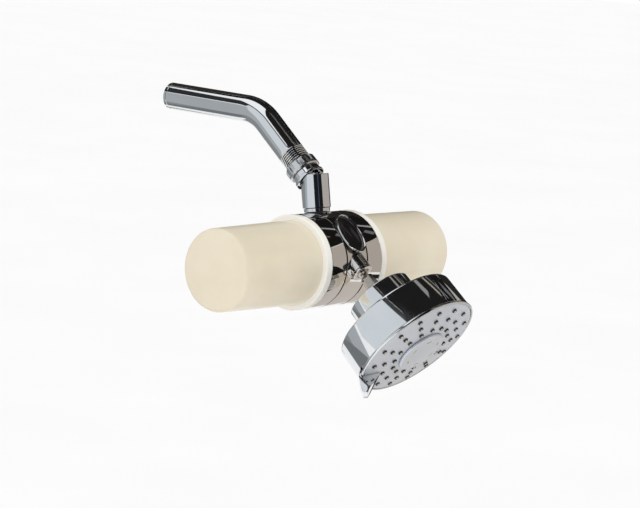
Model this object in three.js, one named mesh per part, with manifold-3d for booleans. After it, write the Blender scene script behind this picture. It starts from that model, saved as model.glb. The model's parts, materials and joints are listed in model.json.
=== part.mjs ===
// Wall-arm shower filter with an adjustable spray head.
//
// A bent shower arm carries a swivel connector, a chrome ring body with a filter cartridge under a
// screw cap on each side, and a spray head on a ball joint. Millimetres, +Z up. The origin is the
// middle of the arm's wall end: the wall is the plane y = 0, and the object reaches out along -Y.

import * as THREE from 'three';
import { mergeVertices } from 'three/addons/utils/BufferGeometryUtils.js';
import Module from 'manifold-3d';

const wasm = await Module();
wasm.setup();

// ---------------------------------------------------------------- driving dimensions

const clearance = 0.3;

// Shower arm: half-inch pipe, NPT thread of 14 turns to the inch.
const pipeRadius = 10.65;
const pipeBore = 8;
const threadPitch = 1.814;
const wallRun = 93;
const bendRadius = 36;
const bendAngle = THREE.MathUtils.degToRad(39);
const cornerToSwivel = 80.3;
const pipeEnd = 17.8;

// Coupling nut and swivel stud, heights measured up the arm's lower axis from the swivel centre.
const nutRadius = 13.1;
const nutBottom = 13.3;
const nutTop = 22.6;
const nutLugs = 9;
const journalRadius = 9.3;
const bandRadius = 11.5;
const lipRadius = 12.4;
const lipBottom = 6.4;
const lipTop = 8.9;
const spigotRadius = 6.5;
const stemBore = 3.6;

// Connector between the swivel and the ring body.
const connectorLean = THREE.MathUtils.degToRad(11.3);
const swivelToRing = 58.2;
const connectorRadius = 11;
const connectorNeckRadius = 10.25;
const connectorTop = 67.4;
const connectorShoulder = 40.2;
const connectorBottom = 37.5;
const connectorTail = 31;
const mouthHeight = 5.5;

// Ring body, turned about the X axis.
const ringRadius = 36.9;
const ringHalf = 30.6;
const ringBore = 27.4;
const grooveOffset = 12.5;
const spigotHalf = 38.5;
const capSpigotRadius = 30.3;
const hubRadius = 8;
const hubBore = 5.5;
const hubHalf = 22;
const webHalf = 2;

// Medallion on the upper front of the ring body.
const medallionAngle = THREE.MathUtils.degToRad(42);
const medallionHalfWidth = 12.3;
const medallionHalfLength = 17.4;
const medallionFace = 38.4;

// Screw caps and the cartridges under them.
const capFlangeRadius = 37.1;
const capFlangeEnd = 37.4;
const capRootRadius = 32.7;
const capEndRadius = 31.7;
const capEnd = 125.5;
const capDome = 2.8;
const capWall = 2.6;
const capCorner = 2;
const cartridgeRadius = 26;
const cartridgeStart = 8;
const cartridgeEnd = 119;

// Spray head. Heights run forward from the ball centre along the spray axis.
const sprayAngle = THREE.MathUtils.degToRad(39);
const ballReach = 41;
const ballDrop = 2.2;
const ballRadius = 5.3;
const bossRadius = 8.4;
const headCollarRadius = 26.5;
const headCollarRear = 25.3;
const shellRadius = 50;
const shellRear = 46.7;
const shellFront = 75.1;
const shellWall = 2.5;
const faceRadius = 51.2;
const faceRim = 76.7;
const faceDome = 5.2;
const nozzleRows = 15;
const nozzleRings = [25, 34, 42.6];
const nozzlePhase = THREE.MathUtils.degToRad(11);
const nozzleRadius = 1.5;
const nozzleTip = 1.2;
const nozzleSides = 5;
const nozzleProud = 1.2;
const insertRadius = 20;
const insertProud = 1.6;
const leverAngle = THREE.MathUtils.degToRad(-139);
const slotStart = THREE.MathUtils.degToRad(-158);
const slotEnd = THREE.MathUtils.degToRad(-94);
const slotDepth = 2.4;
const detentRadius = 12;
const detentStops = [0, 15, 30];
const screwRadius = 1.3;
const screwSeat = 74;

// ---------------------------------------------------------------- derived places

const down = new THREE.Vector3(0, -Math.cos(bendAngle), -Math.sin(bendAngle));
const corner = new THREE.Vector3(0, -wallRun, 0);
const swivelCentre = corner.clone().addScaledVector(down, cornerToSwivel);
const connectorAxis = new THREE.Vector3(0, Math.sin(connectorLean), Math.cos(connectorLean));
const ringCentre = swivelCentre.clone().addScaledVector(connectorAxis, -swivelToRing);

// ---------------------------------------------------------------- finishes

const finish = (color, roughness, metalness) =>
  new THREE.MeshStandardMaterial({ color, roughness, metalness });

const chrome = finish(0xc9ccce, 0.08, 1);
const steel = finish(0xa8abad, 0.3, 1);
const cream = finish(0xeee4cc, 0.35, 0);
const black = finish(0x141414, 0.2, 0);
const rubber = finish(0x2a2a2a, 0.8, 0);
const nozzleRubber = finish(0x6b675c, 0.7, 0);
const satin = finish(0xc4c8cc, 0.35, 0.9);
const white = finish(0xe8e8e4, 0.5, 0);
const media = finish(0xd8c9a0, 0.9, 0);

// ---------------------------------------------------------------- solids and meshes

function toSolid(geometry) {
  geometry.deleteAttribute('normal');
  geometry.deleteAttribute('uv');
  const merged = mergeVertices(geometry, 1e-4);
  const corners = merged.index.array;
  const kept = [];
  for (let i = 0; i < corners.length; i += 3) {
    const [a, b, c] = [corners[i], corners[i + 1], corners[i + 2]];
    if (a !== b && b !== c && c !== a) kept.push(a, b, c);
  }
  const points = merged.attributes.position;
  if (signedVolume(points, kept) < 0) kept.reverse();
  return new wasm.Manifold(new wasm.Mesh({
    numProp: 3,
    vertProperties: new Float32Array(points.array),
    triVerts: new Uint32Array(kept),
  }));
}

function signedVolume(points, corners) {
  const [a, b, c] = [new THREE.Vector3(), new THREE.Vector3(), new THREE.Vector3()];
  let total = 0;
  for (let i = 0; i < corners.length; i += 3) {
    a.fromBufferAttribute(points, corners[i]);
    b.fromBufferAttribute(points, corners[i + 1]);
    c.fromBufferAttribute(points, corners[i + 2]);
    total += a.dot(b.cross(c));
  }
  return total;
}

function part(name, solid, material) {
  const data = solid.getMesh();
  const geometry = new THREE.BufferGeometry();
  const positions = new Float32Array(data.vertProperties);
  geometry.setAttribute('position', new THREE.BufferAttribute(positions, 3));
  geometry.setIndex(new THREE.BufferAttribute(new Uint32Array(data.triVerts), 1));
  geometry.computeVertexNormals();
  const mesh = new THREE.Mesh(geometry, material);
  mesh.name = name;
  return mesh;
}

// A profile is a list of [radius, height] points, turned about Z.
function turnedGeometry(profile, sides) {
  const points = profile.map(([radius, height]) => new THREE.Vector2(radius, height));
  return new THREE.LatheGeometry(points, sides).rotateX(Math.PI / 2);
}

const turned = (profile, sides = 22) => toSolid(turnedGeometry(profile, sides));

// The same profile turned about X instead.
const turnedAlongX = (profile, sides = 28) =>
  toSolid(turnedGeometry(profile, sides).rotateY(Math.PI / 2));

const closed = (profile) => [...profile, profile[0]];

const sleeve = (inner, outer, low, high) =>
  closed([[inner, low], [outer, low], [outer, high], [inner, high]]);

const rod = (radius, low, high) => [[0, low], [radius, low], [radius, high], [0, high]];

function seal(majorRadius, minorRadius, height, steps = 6) {
  const profile = [];
  for (let i = 0; i < steps; i += 1) {
    const angle = (i / steps) * 2 * Math.PI;
    const radius = majorRadius + minorRadius * Math.cos(angle);
    profile.push([radius, height + minorRadius * Math.sin(angle)]);
  }
  return closed(profile);
}

function prism(points, low, high) {
  const shape = new THREE.Shape(points.map(([x, y]) => new THREE.Vector2(x, y)));
  const geometry = new THREE.ExtrudeGeometry(shape, { depth: high - low, bevelEnabled: false });
  return geometry.translate(0, 0, low);
}

function ovalPoints(halfWidth, halfLength, steps = 24) {
  const points = [];
  for (let i = 0; i < steps; i += 1) {
    const angle = (i / steps) * 2 * Math.PI;
    points.push([halfWidth * Math.cos(angle), halfLength * Math.sin(angle)]);
  }
  return points;
}

// A stretch of sphere surface between two polar angles measured from +Z, in degrees.
function sphereArc(radius, from, to, steps) {
  const points = [];
  for (let i = 0; i <= steps; i += 1) {
    const angle = THREE.MathUtils.degToRad(from + ((to - from) * i) / steps);
    points.push([radius * Math.sin(angle), radius * Math.cos(angle)]);
  }
  return points;
}

// ---------------------------------------------------------------- frames

// Local +Z points up the arm's lower stretch.
const inletFrame = new THREE.Group();
inletFrame.position.copy(swivelCentre);
inletFrame.rotation.x = -(Math.PI / 2 - bendAngle);

// Local +Z points up the connector; the origin is the ring centre.
const connectorFrame = new THREE.Group();
connectorFrame.position.copy(ringCentre);
connectorFrame.rotation.x = -connectorLean;

const ringFrame = new THREE.Group();
ringFrame.position.copy(ringCentre);

// Local +Z points out through the medallion; local Y runs round the ring.
const medallionFrame = new THREE.Group();
medallionFrame.position.copy(ringCentre);
medallionFrame.rotation.x = Math.PI / 2 - medallionAngle;

// Local +Z is the spray direction; local X is the object's X.
const headFrame = new THREE.Group();
headFrame.position.copy(ringCentre).add(new THREE.Vector3(0, -ballReach, -ballDrop));
headFrame.rotation.x = Math.PI / 2 + sprayAngle;

const allFrames = [inletFrame, connectorFrame, ringFrame, medallionFrame, headFrame];
allFrames.forEach((frame) => frame.updateMatrix());

// A geometry drawn in one frame, moved into another.
function carried(geometry, from, to) {
  return geometry.applyMatrix4(from.matrix).applyMatrix4(to.matrix.clone().invert());
}

const fromInlet = (profile, sides, frame) =>
  toSolid(carried(turnedGeometry(profile, sides), inletFrame, frame));

const fromHead = (profile, sides, frame) =>
  toSolid(carried(turnedGeometry(profile, sides), headFrame, frame));

const fromConnector = (profile, sides, frame) =>
  toSolid(carried(turnedGeometry(profile, sides), connectorFrame, frame));

// ---------------------------------------------------------------- shower arm

const pipeSides = 16;
const bendSteps = 5;
const bendOverlap = 0.2;

function bendPath() {
  const setback = bendRadius * Math.tan(bendAngle / 2);
  const centre = new THREE.Vector3(0, -(wallRun - setback), -bendRadius);
  const points = [];
  for (let i = 0; i <= bendSteps; i += 1) {
    const angle = (bendAngle * i) / bendSteps;
    const swing = new THREE.Vector3(0, -Math.sin(angle), Math.cos(angle));
    points.push(centre.clone().addScaledVector(swing, bendRadius));
  }
  return new THREE.CatmullRomCurve3(points);
}

function bend() {
  const section = new THREE.Shape().absarc(0, 0, pipeRadius, 0, 2 * Math.PI);
  section.holes.push(new THREE.Path().absarc(0, 0, pipeBore, 0, 2 * Math.PI, true));
  return toSolid(new THREE.ExtrudeGeometry(section, {
    steps: bendSteps,
    curveSegments: pipeSides / 2,
    extrudePath: bendPath(),
  }));
}

// The pipe from the wall to just inside the bend, with a groove behind its end rim.
function wallStretch(setback) {
  const grooveFloor = pipeRadius - 0.6;
  const grooveStart = 2.2;
  const grooveEnd = 3.4;
  const slope = 0.3;
  const end = wallRun - setback + bendOverlap;
  const profile = closed([
    [pipeBore, 0],
    [pipeRadius, 0],
    [pipeRadius, grooveStart],
    [grooveFloor, grooveStart + slope],
    [grooveFloor, grooveEnd - slope],
    [pipeRadius, grooveEnd],
    [pipeRadius, end],
    [pipeBore, end],
  ]);
  return toSolid(turnedGeometry(profile, pipeSides).rotateX(Math.PI / 2));
}

// The pipe from the bend to its threaded end, drawn up the arm's lower axis.
function lowerStretch(setback) {
  const threadDepth = 0.8;
  const threadTurns = 5;
  const threadEnd = pipeEnd + threadTurns * threadPitch;
  const end = cornerToSwivel - setback + bendOverlap;
  const thread = [];
  for (let i = 0; i < threadTurns; i += 1) {
    const height = pipeEnd + i * threadPitch;
    thread.push([pipeRadius - threadDepth, height]);
    thread.push([pipeRadius, height + threadPitch / 2]);
  }
  const profile = closed([
    [pipeBore, pipeEnd],
    ...thread,
    [pipeRadius - threadDepth, threadEnd],
    [pipeRadius, threadEnd + 1],
    [pipeRadius, end],
    [pipeBore, end],
  ]);
  return toSolid(carried(turnedGeometry(profile, pipeSides), inletFrame, new THREE.Group()));
}

function showerArm() {
  const setback = bendRadius * Math.tan(bendAngle / 2);
  const solid = bend().add(wallStretch(setback)).add(lowerStretch(setback));
  return part('shower_arm', solid, chrome);
}

// ---------------------------------------------------------------- coupling nut and swivel stud

function couplingNut() {
  const shoulderTop = 14.5;
  const bevel = 0.8;
  const bore = pipeRadius + clearance;
  const neck = journalRadius + clearance;
  let solid = turned(closed([
    [neck, nutBottom],
    [nutRadius - bevel, nutBottom],
    [nutRadius, nutBottom + bevel],
    [nutRadius, nutTop - bevel],
    [nutRadius - bevel, nutTop],
    [bore, nutTop],
    [bore, shoulderTop],
    [neck, shoulderTop],
  ]), 36);
  const notchDepth = 1.2;
  const notchWidth = 4.2;
  const notchLength = 6.7;
  const notchFloor = 17.2;
  for (let i = 0; i < nutLugs; i += 1) {
    const notch = new THREE.BoxGeometry(2 * notchDepth, notchWidth, notchLength);
    notch.translate(nutRadius, 0, notchFloor + notchLength / 2);
    notch.rotateZ((i / nutLugs) * 2 * Math.PI);
    solid = solid.subtract(toSolid(notch));
  }
  return part('coupling_nut', solid, chrome);
}

function swivelStud() {
  const sealGroove = spigotRadius - 1.4;
  const bandTop = nutBottom - clearance;
  const snapGrooveLow = 14.65;
  const snapGrooveHigh = 15.65;
  const studTop = 16;
  const profile = closed([
    [stemBore, -3.2],
    [spigotRadius - 0.4, -3.2],
    [spigotRadius - 0.4, -1.9],
    [sealGroove, -1.9],
    [sealGroove, -0.7],
    [spigotRadius, -0.7],
    [spigotRadius, 2.4],
    [sealGroove, 2.4],
    [sealGroove, 4.4],
    [spigotRadius, 4.4],
    [spigotRadius, lipBottom],
    [lipRadius, lipBottom],
    [lipRadius, lipTop],
    [bandRadius, lipTop],
    [bandRadius, bandTop],
    [journalRadius, bandTop],
    [journalRadius, snapGrooveLow],
    [journalRadius - 0.9, snapGrooveLow],
    [journalRadius - 0.9, snapGrooveHigh],
    [journalRadius, snapGrooveHigh],
    [journalRadius, studTop],
    [stemBore, studTop],
  ]);
  return part('swivel_stud', turned(profile, 18), chrome);
}

function openRing(name, inner, outer, low, high, material) {
  const ring = turned(sleeve(inner, outer, low, high), 18);
  const gap = new THREE.BoxGeometry(outer, 2.2, (high - low) * 3);
  gap.translate(outer, 0, (low + high) / 2);
  return part(name, ring.subtract(toSolid(gap)), material);
}

const inletWasher = () => part('inlet_washer', turned(sleeve(6.2, 10.2, 16.3, 17.5), 18), rubber);

function inletScreen() {
  let solid = turned(rod(5.9, 16.5, 17.1), 18);
  for (let ring = 0; ring < 2; ring += 1) {
    const count = ring === 0 ? 1 : 6;
    for (let i = 0; i < count; i += 1) {
      const hole = turnedGeometry(rod(1.1, 15, 19), 6).translate(ring * 3.4, 0, 0);
      solid = solid.subtract(toSolid(hole.rotateZ((i / count) * 2 * Math.PI)));
    }
  }
  return part('inlet_screen', solid, steel);
}

const swivelSeal = () =>
  part('swivel_seal', turned(seal(spigotRadius - 0.55, 0.6, 3.4), 16), rubber);

// ---------------------------------------------------------------- connector

function connector() {
  const bodyTop = connectorTop - 0.7;
  let solid = turned([
    [0, connectorTail],
    [8, connectorTail],
    [8, connectorBottom],
    [connectorNeckRadius, connectorBottom],
    [connectorNeckRadius, connectorShoulder],
    [connectorRadius, connectorShoulder + 0.6],
    [connectorRadius, bodyTop],
    [connectorRadius - 0.7, connectorTop],
    [0, connectorTop],
  ], 20);
  const slice = fromInlet(rod(40, mouthHeight, 40), 12, connectorFrame);
  const bore = fromInlet(rod(spigotRadius + clearance, -1.4, 30), 18, connectorFrame);
  const chamber = fromInlet(rod(7.9, -3.6, -0.4), 18, connectorFrame);
  solid = solid.subtract(slice).subtract(bore).subtract(chamber);
  return part('connector', solid.subtract(turned(rod(5, 20, swivelToRing - 1), 14)), chrome);
}

const connectorGasket = () =>
  part('connector_gasket', turned(sleeve(8.3, 10.1, 36.4, 37.2), 20), rubber);

// ---------------------------------------------------------------- ring body

function ringProfile() {
  const outer = [];
  const grooveHalf = 0.45;
  const grooveDepth = 0.6;
  for (const centre of [-grooveOffset, grooveOffset]) {
    outer.push([ringRadius, centre - grooveHalf]);
    outer.push([ringRadius - grooveDepth, centre - grooveHalf]);
    outer.push([ringRadius - grooveDepth, centre + grooveHalf]);
    outer.push([ringRadius, centre + grooveHalf]);
  }
  return closed([
    [ringBore, -spigotHalf],
    [capSpigotRadius, -spigotHalf],
    [capSpigotRadius, -ringHalf],
    [ringRadius, -ringHalf],
    ...outer,
    [ringRadius, ringHalf],
    [capSpigotRadius, ringHalf],
    [capSpigotRadius, spigotHalf],
    [ringBore, spigotHalf],
  ]);
}

function medallionPad() {
  const outline = ovalPoints(medallionHalfWidth, medallionHalfLength);
  const pad = prism(outline, ringBore + 2, medallionFace - 1.2);
  return toSolid(carried(pad, medallionFrame, ringFrame));
}

function medallionSeat() {
  const outline = ovalPoints(medallionHalfWidth - 1.2, medallionHalfLength - 1.2);
  const seat = prism(outline, medallionFace - 2.8, medallionFace + 3);
  return toSolid(carried(seat, medallionFrame, ringFrame));
}

// The duct from the hub to the pocket behind the ball.
function outletDuct(radius, start, reach) {
  const pocket = new THREE.Vector3(0, -30.9, 6);
  const duct = turnedGeometry(rod(radius, start, pocket.length() + reach), 10);
  const turn = new THREE.Quaternion();
  turn.setFromUnitVectors(new THREE.Vector3(0, 0, 1), pocket.normalize());
  return toSolid(duct.applyQuaternion(turn));
}

function ringBody() {
  const socketRadius = 7.5;
  const hub = turnedAlongX(rod(hubRadius, -hubHalf, hubHalf), 20);
  const web = turnedAlongX(rod(ringBore + 1, -webHalf, webHalf), 24);
  const boss = fromHead(rod(bossRadius, -16, 0), 20, ringFrame);
  const inside = turnedAlongX(rod(ringBore, -spigotHalf, spigotHalf));
  let solid = turnedAlongX(ringProfile());
  solid = solid.add(medallionPad()).add(boss.subtract(inside));
  solid = solid.add(web).add(hub).add(outletDuct(6.5, 0, 0));
  solid = solid.subtract(turnedAlongX(rod(hubBore, -hubHalf - 1, hubHalf + 1), 14));
  solid = solid.subtract(fromConnector(rod(8.3, 18, 60), 20, ringFrame));
  solid = solid.subtract(fromConnector(rod(11.2, 36.1, 60), 20, ringFrame));
  solid = solid.subtract(outletDuct(3.2, 0, 2)).subtract(medallionSeat());
  const ball = toSolid(carried(new THREE.SphereGeometry(socketRadius, 16, 10), headFrame, ringFrame));
  const mouth = fromHead(rod(socketRadius, 0, 20), 16, ringFrame);
  const drain = fromHead(rod(3.2, -14.5, 0), 10, ringFrame);
  return part('ring_body', solid.subtract(ball).subtract(mouth).subtract(drain), chrome);
}

function medallionRim() {
  const low = medallionFace - 0.9;
  const high = medallionFace - 0.1;
  const outer = toSolid(prism(ovalPoints(medallionHalfWidth, medallionHalfLength), low, high));
  const hole = ovalPoints(medallionHalfWidth - 1.1, medallionHalfLength - 1.1);
  return part('medallion_rim', outer.subtract(toSolid(prism(hole, low - 1, high + 1))), chrome);
}

function medallion() {
  const inset = 1.5;
  const width = medallionHalfWidth - inset;
  const length = medallionHalfLength - inset;
  const disc = toSolid(prism(ovalPoints(width, length), medallionFace - 2.5, medallionFace + 1));
  const domeRadius = 150;
  const dome = turned([
    [0, medallionFace - 6],
    [length + 2, medallionFace - 6],
    ...[1, 0.7, 0.4].map((share) => {
      const radius = (length + 2) * share;
      return [radius, medallionFace + 0.5 - (radius * radius) / (2 * domeRadius)];
    }),
    [0, medallionFace + 0.5],
  ], 32);
  return part('medallion', disc.intersect(dome), black);
}

// ---------------------------------------------------------------- caps and cartridges

// Profiles run along +X; the left side is the same piece turned half a turn about Z.
function sided(name, profile, material, side, sides = 28) {
  const mesh = part(name, turnedAlongX(profile, sides), material);
  mesh.rotation.z = side === 'left' ? Math.PI : 0;
  return mesh;
}

function cap(side) {
  const shoulder = spigotHalf + 1.1;
  const bore = capSpigotRadius + clearance + 0.2;
  const corners = [];
  for (let i = 0; i <= 2; i += 1) {
    const angle = (i / 2) * (Math.PI / 2);
    const radius = capEndRadius - capCorner * (1 - Math.cos(angle));
    corners.push([radius, capEnd - capCorner * (1 - Math.sin(angle))]);
  }
  const domeEdge = capEndRadius - capCorner;
  const dome = [0.66, 0.33].map((share) => [domeEdge * share, capEnd + capDome * (1 - share ** 2)]);
  const innerEnd = capEnd - capWall;
  return sided(`${side}_cap`, [
    [0, innerEnd],
    [capEndRadius - capWall, innerEnd],
    [capRootRadius - capWall - 0.5, shoulder + 2],
    [capRootRadius - capWall - 0.5, shoulder],
    [bore, shoulder],
    [bore, ringHalf + clearance],
    [capFlangeRadius, ringHalf + clearance],
    [capFlangeRadius, capFlangeEnd - 0.5],
    [capFlangeRadius - 0.5, capFlangeEnd],
    [capRootRadius, capFlangeEnd],
    ...corners,
    ...dome,
    [0, capEnd + capDome],
  ], cream, side);
}

const capGasket = (side) =>
  sided(`${side}_cap_gasket`, sleeve(28.4, 30.2, spigotHalf + 0.3, spigotHalf + 0.8), rubber, side, 24);

function cartridge(side) {
  const wall = 2;
  const socket = hubRadius + clearance;
  return sided(`${side}_cartridge`, closed([
    [socket, cartridgeStart],
    [cartridgeRadius, cartridgeStart],
    [cartridgeRadius, cartridgeEnd],
    [socket, cartridgeEnd],
    [socket, cartridgeEnd - wall],
    [cartridgeRadius - wall, cartridgeEnd - wall],
    [cartridgeRadius - wall, cartridgeStart + wall],
    [socket + wall, cartridgeStart + wall],
    [socket + wall, hubHalf],
    [socket, hubHalf],
  ]), white, side, 20);
}

const filterCore = (side) => sided(
  `${side}_filter_core`,
  sleeve(hubRadius + clearance, cartridgeRadius - 2 - clearance, hubHalf + 1, cartridgeEnd - 2.5),
  media, side, 20,
);

const hubSeal = (side) =>
  sided(`${side}_hub_seal`, seal(hubRadius - 0.2, 0.35, hubHalf + 0.8, 4), rubber, side, 16);

// ---------------------------------------------------------------- ball joint and head

function outletCollar() {
  const cup = sphereArc(ballRadius + clearance, 86, 64.6, 3);
  const [mouthRadius, mouthTop] = cup[cup.length - 1];
  return part('outlet_collar', turned(closed([
    ...cup,
    [mouthRadius + 0.2, mouthTop],
    [bossRadius - 0.6, mouthTop],
    [bossRadius, mouthTop - 0.6],
    [bossRadius, cup[0][1]],
  ]), 20), chrome);
}

function socketLiner(name, inner, outer, material) {
  const outside = sphereArc(outer, 112, 148, 3);
  const inside = sphereArc(inner, 148, 112, 3);
  return part(name, turned(closed([...outside, ...inside]), 14), material);
}

function ballStud() {
  const hexStart = 6.4;
  const hexEnd = headCollarRear - clearance;
  const waist = 3;
  const bore = 1.9;
  const threadRadius = 5.8;
  const ball = sphereArc(ballRadius, 180 - 21, 34.5, 6);
  const core = turned(closed([
    [bore, ball[0][1]],
    ...ball,
    [waist, hexStart + 0.5],
    [threadRadius, hexEnd - 2],
    [threadRadius, 35],
    [bore, 35],
  ]), 16);
  const hexLength = hexEnd - hexStart;
  const hexBody = new THREE.CylinderGeometry(6.9, 5, hexLength, 6).rotateX(Math.PI / 2);
  hexBody.translate(0, 0, (hexStart + hexEnd) / 2);
  const boreCut = turned(rod(bore, 0, 40), 16);
  return part('ball_stud', core.add(toSolid(hexBody)).subtract(boreCut), chrome);
}

function headCollar() {
  const wall = 2.6;
  const hub = 10;
  const thread = 6.1;
  const front = shellRear - clearance;
  const spigot = 23;
  return part('head_collar', turned(closed([
    [thread, headCollarRear],
    [headCollarRadius - 1, headCollarRear],
    [headCollarRadius, headCollarRear + 1],
    [headCollarRadius, front],
    [spigot, front],
    [spigot, shellRear + 5],
    [spigot - wall, shellRear + 5],
    [spigot - wall, headCollarRear + wall],
    [hub, headCollarRear + wall],
    [hub, 38.5],
    [8, 38.5],
    [8, 35.6],
    [thread, 35.6],
  ]), 24), chrome);
}

const collarSeal = () => part('collar_seal', turned(seal(24.3, 0.6, 50.6), 20), rubber);

function flowRestrictor() {
  let solid = turned(rod(7.6, 35.9, 37.6), 14);
  for (let i = 0; i < 4; i += 1) {
    const hole = turnedGeometry(rod(1.1, 34, 40), 6).translate(3.6, 0, 0);
    solid = solid.subtract(toSolid(hole.rotateZ((i / 4) * 2 * Math.PI)));
  }
  return part('flow_restrictor', solid, white);
}

// A block that follows the shell's rim between two angles.
function rimSector(inner, outer, from, to, low, high) {
  const points = [];
  const steps = 6;
  for (let i = 0; i <= steps; i += 1) {
    const angle = from + ((to - from) * i) / steps;
    points.push([inner * Math.cos(angle), inner * Math.sin(angle)]);
  }
  for (let i = steps; i >= 0; i -= 1) {
    const angle = from + ((to - from) * i) / steps;
    points.push([outer * Math.cos(angle), outer * Math.sin(angle)]);
  }
  return toSolid(prism(points, low, high));
}

function headShell() {
  const spigotBore = 23 + clearance;
  const inner = shellRadius - shellWall;
  const slot = rimSector(44, 56, slotStart, slotEnd, shellFront - slotDepth, shellFront + 2);
  const solid = turned(closed([
    [spigotBore, shellRear],
    [shellRadius - 1.2, shellRear],
    [shellRadius, shellRear + 1.2],
    [shellRadius + 0.5, shellFront],
    [inner, shellFront],
    [inner, shellRear + shellWall],
    [spigotBore, shellRear + shellWall],
  ]), 36);
  return part('head_shell', solid.subtract(slot), chrome);
}

function distributor() {
  const rear = 60;
  const front = 64;
  let solid = turned([
    [0, rear],
    [shellRadius - shellWall - clearance, rear],
    [shellRadius - shellWall - clearance, rear + 1.5],
    [45.6, rear + 1.5],
    [45.6, rear + 2.9],
    [shellRadius - shellWall - clearance, rear + 2.9],
    [shellRadius - shellWall - clearance, front],
    [0, front],
  ], 28);
  const ports = 6;
  for (let i = 0; i < ports; i += 1) {
    const port = turnedGeometry(rod(3.2, rear - 5, front + 5), 8).translate(24, 0, 0);
    solid = solid.subtract(toSolid(port.rotateZ((i / ports) * 2 * Math.PI)));
  }
  const pocket = turnedGeometry(rod(2.4, rear + 1, front + 5), 8).translate(0, detentRadius, 0);
  const screwHole = turned(rod(screwRadius + clearance, rear + 0.6, front + 5), 10);
  solid = solid.subtract(toSolid(pocket)).subtract(screwHole);
  return part('distributor', solid, white);
}

const distributorSeal = () =>
  part('distributor_seal', turned(seal(46.45, 0.55, 62.2, 4), 28), rubber);

function detentSpring() {
  const turnCount = 3;
  const steps = turnCount * 9;
  const radius = 1.6;
  const points = [];
  for (let i = 0; i <= steps; i += 1) {
    const angle = (i / steps) * turnCount * 2 * Math.PI;
    const height = 61.5 + (i / steps) * 2.4;
    const [x, y] = [radius * Math.cos(angle), radius * Math.sin(angle)];
    points.push(new THREE.Vector3(x, detentRadius + y, height));
  }
  const section = new THREE.Shape().absarc(0, 0, 0.22, 0, 2 * Math.PI);
  const geometry = new THREE.ExtrudeGeometry(section, {
    steps,
    curveSegments: 3,
    extrudePath: new THREE.CatmullRomCurve3(points),
  });
  return part('detent_spring', toSolid(geometry), steel);
}

function detentBall() {
  const ball = new THREE.SphereGeometry(1.7, 10, 6).rotateX(Math.PI / 2);
  return part('detent_ball', toSolid(ball.translate(0, detentRadius, 66)), steel);
}

function centreScrew() {
  const headRadius = 3.2;
  const low = screwSeat + 0.2;
  const core = turned(rod(screwRadius, 61.4, low + 0.5), 10);
  return part('centre_screw', core.add(turned(rod(headRadius, low, low + 2), 12)), steel);
}

// Height of the face's outer surface at a distance from its middle.
const faceHeight = (radius) => faceRim + faceDome * (1 - (radius / faceRadius) ** 2);

function domePoints(from, to, steps, offset) {
  const points = [];
  for (let i = 0; i <= steps; i += 1) {
    const radius = from + ((to - from) * i) / steps;
    points.push([radius, faceHeight(radius) + offset]);
  }
  return points;
}

function eachNozzle(place) {
  for (let row = 0; row < nozzleRows; row += 1) {
    const angle = nozzlePhase + (row / nozzleRows) * 2 * Math.PI;
    nozzleRings.forEach((radius) => {
      if (!underLever(radius, angle)) place(radius * Math.cos(angle), radius * Math.sin(angle), radius);
    });
  }
}

function underLever(radius, angle) {
  const away = Math.abs(Math.atan2(Math.sin(angle - leverAngle), Math.cos(angle - leverAngle)));
  return radius > 38 && away < THREE.MathUtils.degToRad(11);
}

// The lever's outline seen along the spray axis, grown by a margin, and its side outline.
function leverSolid(margin) {
  const plan = prism([
    [36 - 2 * margin, 0],
    [51, -6.2 - margin],
    [57 + margin, -5 - margin],
    [57 + margin, 5 + margin],
    [51, 6.2 + margin],
  ], 60, 100);
  const root = shellFront + clearance;
  const side = prism([
    [34 - margin, 79.2 - margin],
    [45, root + 0.6 - margin],
    [48, root - margin],
    [52.6 + margin, root - margin],
    [55.5 + margin, 82],
    [57 + margin, 88.5 + margin],
    [54.5, 90 + margin],
    [44, 84.6 + margin],
  ], -20, 20).rotateX(Math.PI / 2);
  const solid = toSolid(plan.rotateZ(leverAngle));
  return solid.intersect(toSolid(side.rotateZ(leverAngle)));
}

// The hub bears on the centre screw's head, and its rear face carries the detent dimples.
function facePlate() {
  const thickness = 2.2;
  const hubWidth = 16;
  const hubRear = 68;
  const headPocket = 3.6;
  const skirtInner = 45.2;
  const skirtOuter = 47;
  const skirtRear = 70;
  const rim = faceRadius - 2;
  const lip = faceHeight(rim) - 1.2;
  let solid = turned(closed([
    [screwRadius + clearance, hubRear],
    [screwRadius + clearance, screwSeat],
    [headPocket, screwSeat],
    ...domePoints(headPocket, rim, 3, 0),
    [rim, lip],
    [skirtOuter, lip],
    [skirtOuter, skirtRear],
    [skirtInner, skirtRear],
    ...domePoints(skirtInner, hubWidth, 2, -thickness),
    [hubWidth, hubRear],
  ]), 32);
  eachNozzle((x, y) => {
    const hole = turnedGeometry(rod(nozzleRadius + clearance + 0.15, 70, 90), nozzleSides);
    solid = solid.subtract(toSolid(hole.translate(x, y, 0)));
  });
  detentStops.forEach((stop) => {
    const dimple = turnedGeometry(rod(1.2, hubRear - 1, hubRear + 0.5), 6);
    dimple.translate(0, detentRadius, 0).rotateZ(-THREE.MathUtils.degToRad(stop));
    solid = solid.subtract(toSolid(dimple));
  });
  return part('face_plate', solid.subtract(leverSolid(clearance)), satin);
}

function nozzleMat() {
  const back = 4.6;
  const front = 2.6;
  const outer = 44.6;
  let solid = turned(closed([
    ...domePoints(21, outer, 2, -front),
    ...domePoints(outer, 21, 2, -back),
  ]), 24);
  eachNozzle((x, y, radius) => {
    const top = faceHeight(radius) + nozzleProud;
    const length = nozzleProud + back - 0.8;
    const nozzle = new THREE.CylinderGeometry(nozzleTip, nozzleRadius, length, nozzleSides);
    nozzle.rotateX(Math.PI / 2).translate(x, y, top - length / 2);
    solid = solid.add(toSolid(nozzle));
  });
  return part('nozzle_mat', solid.subtract(leverSolid(clearance)), nozzleRubber);
}

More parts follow.
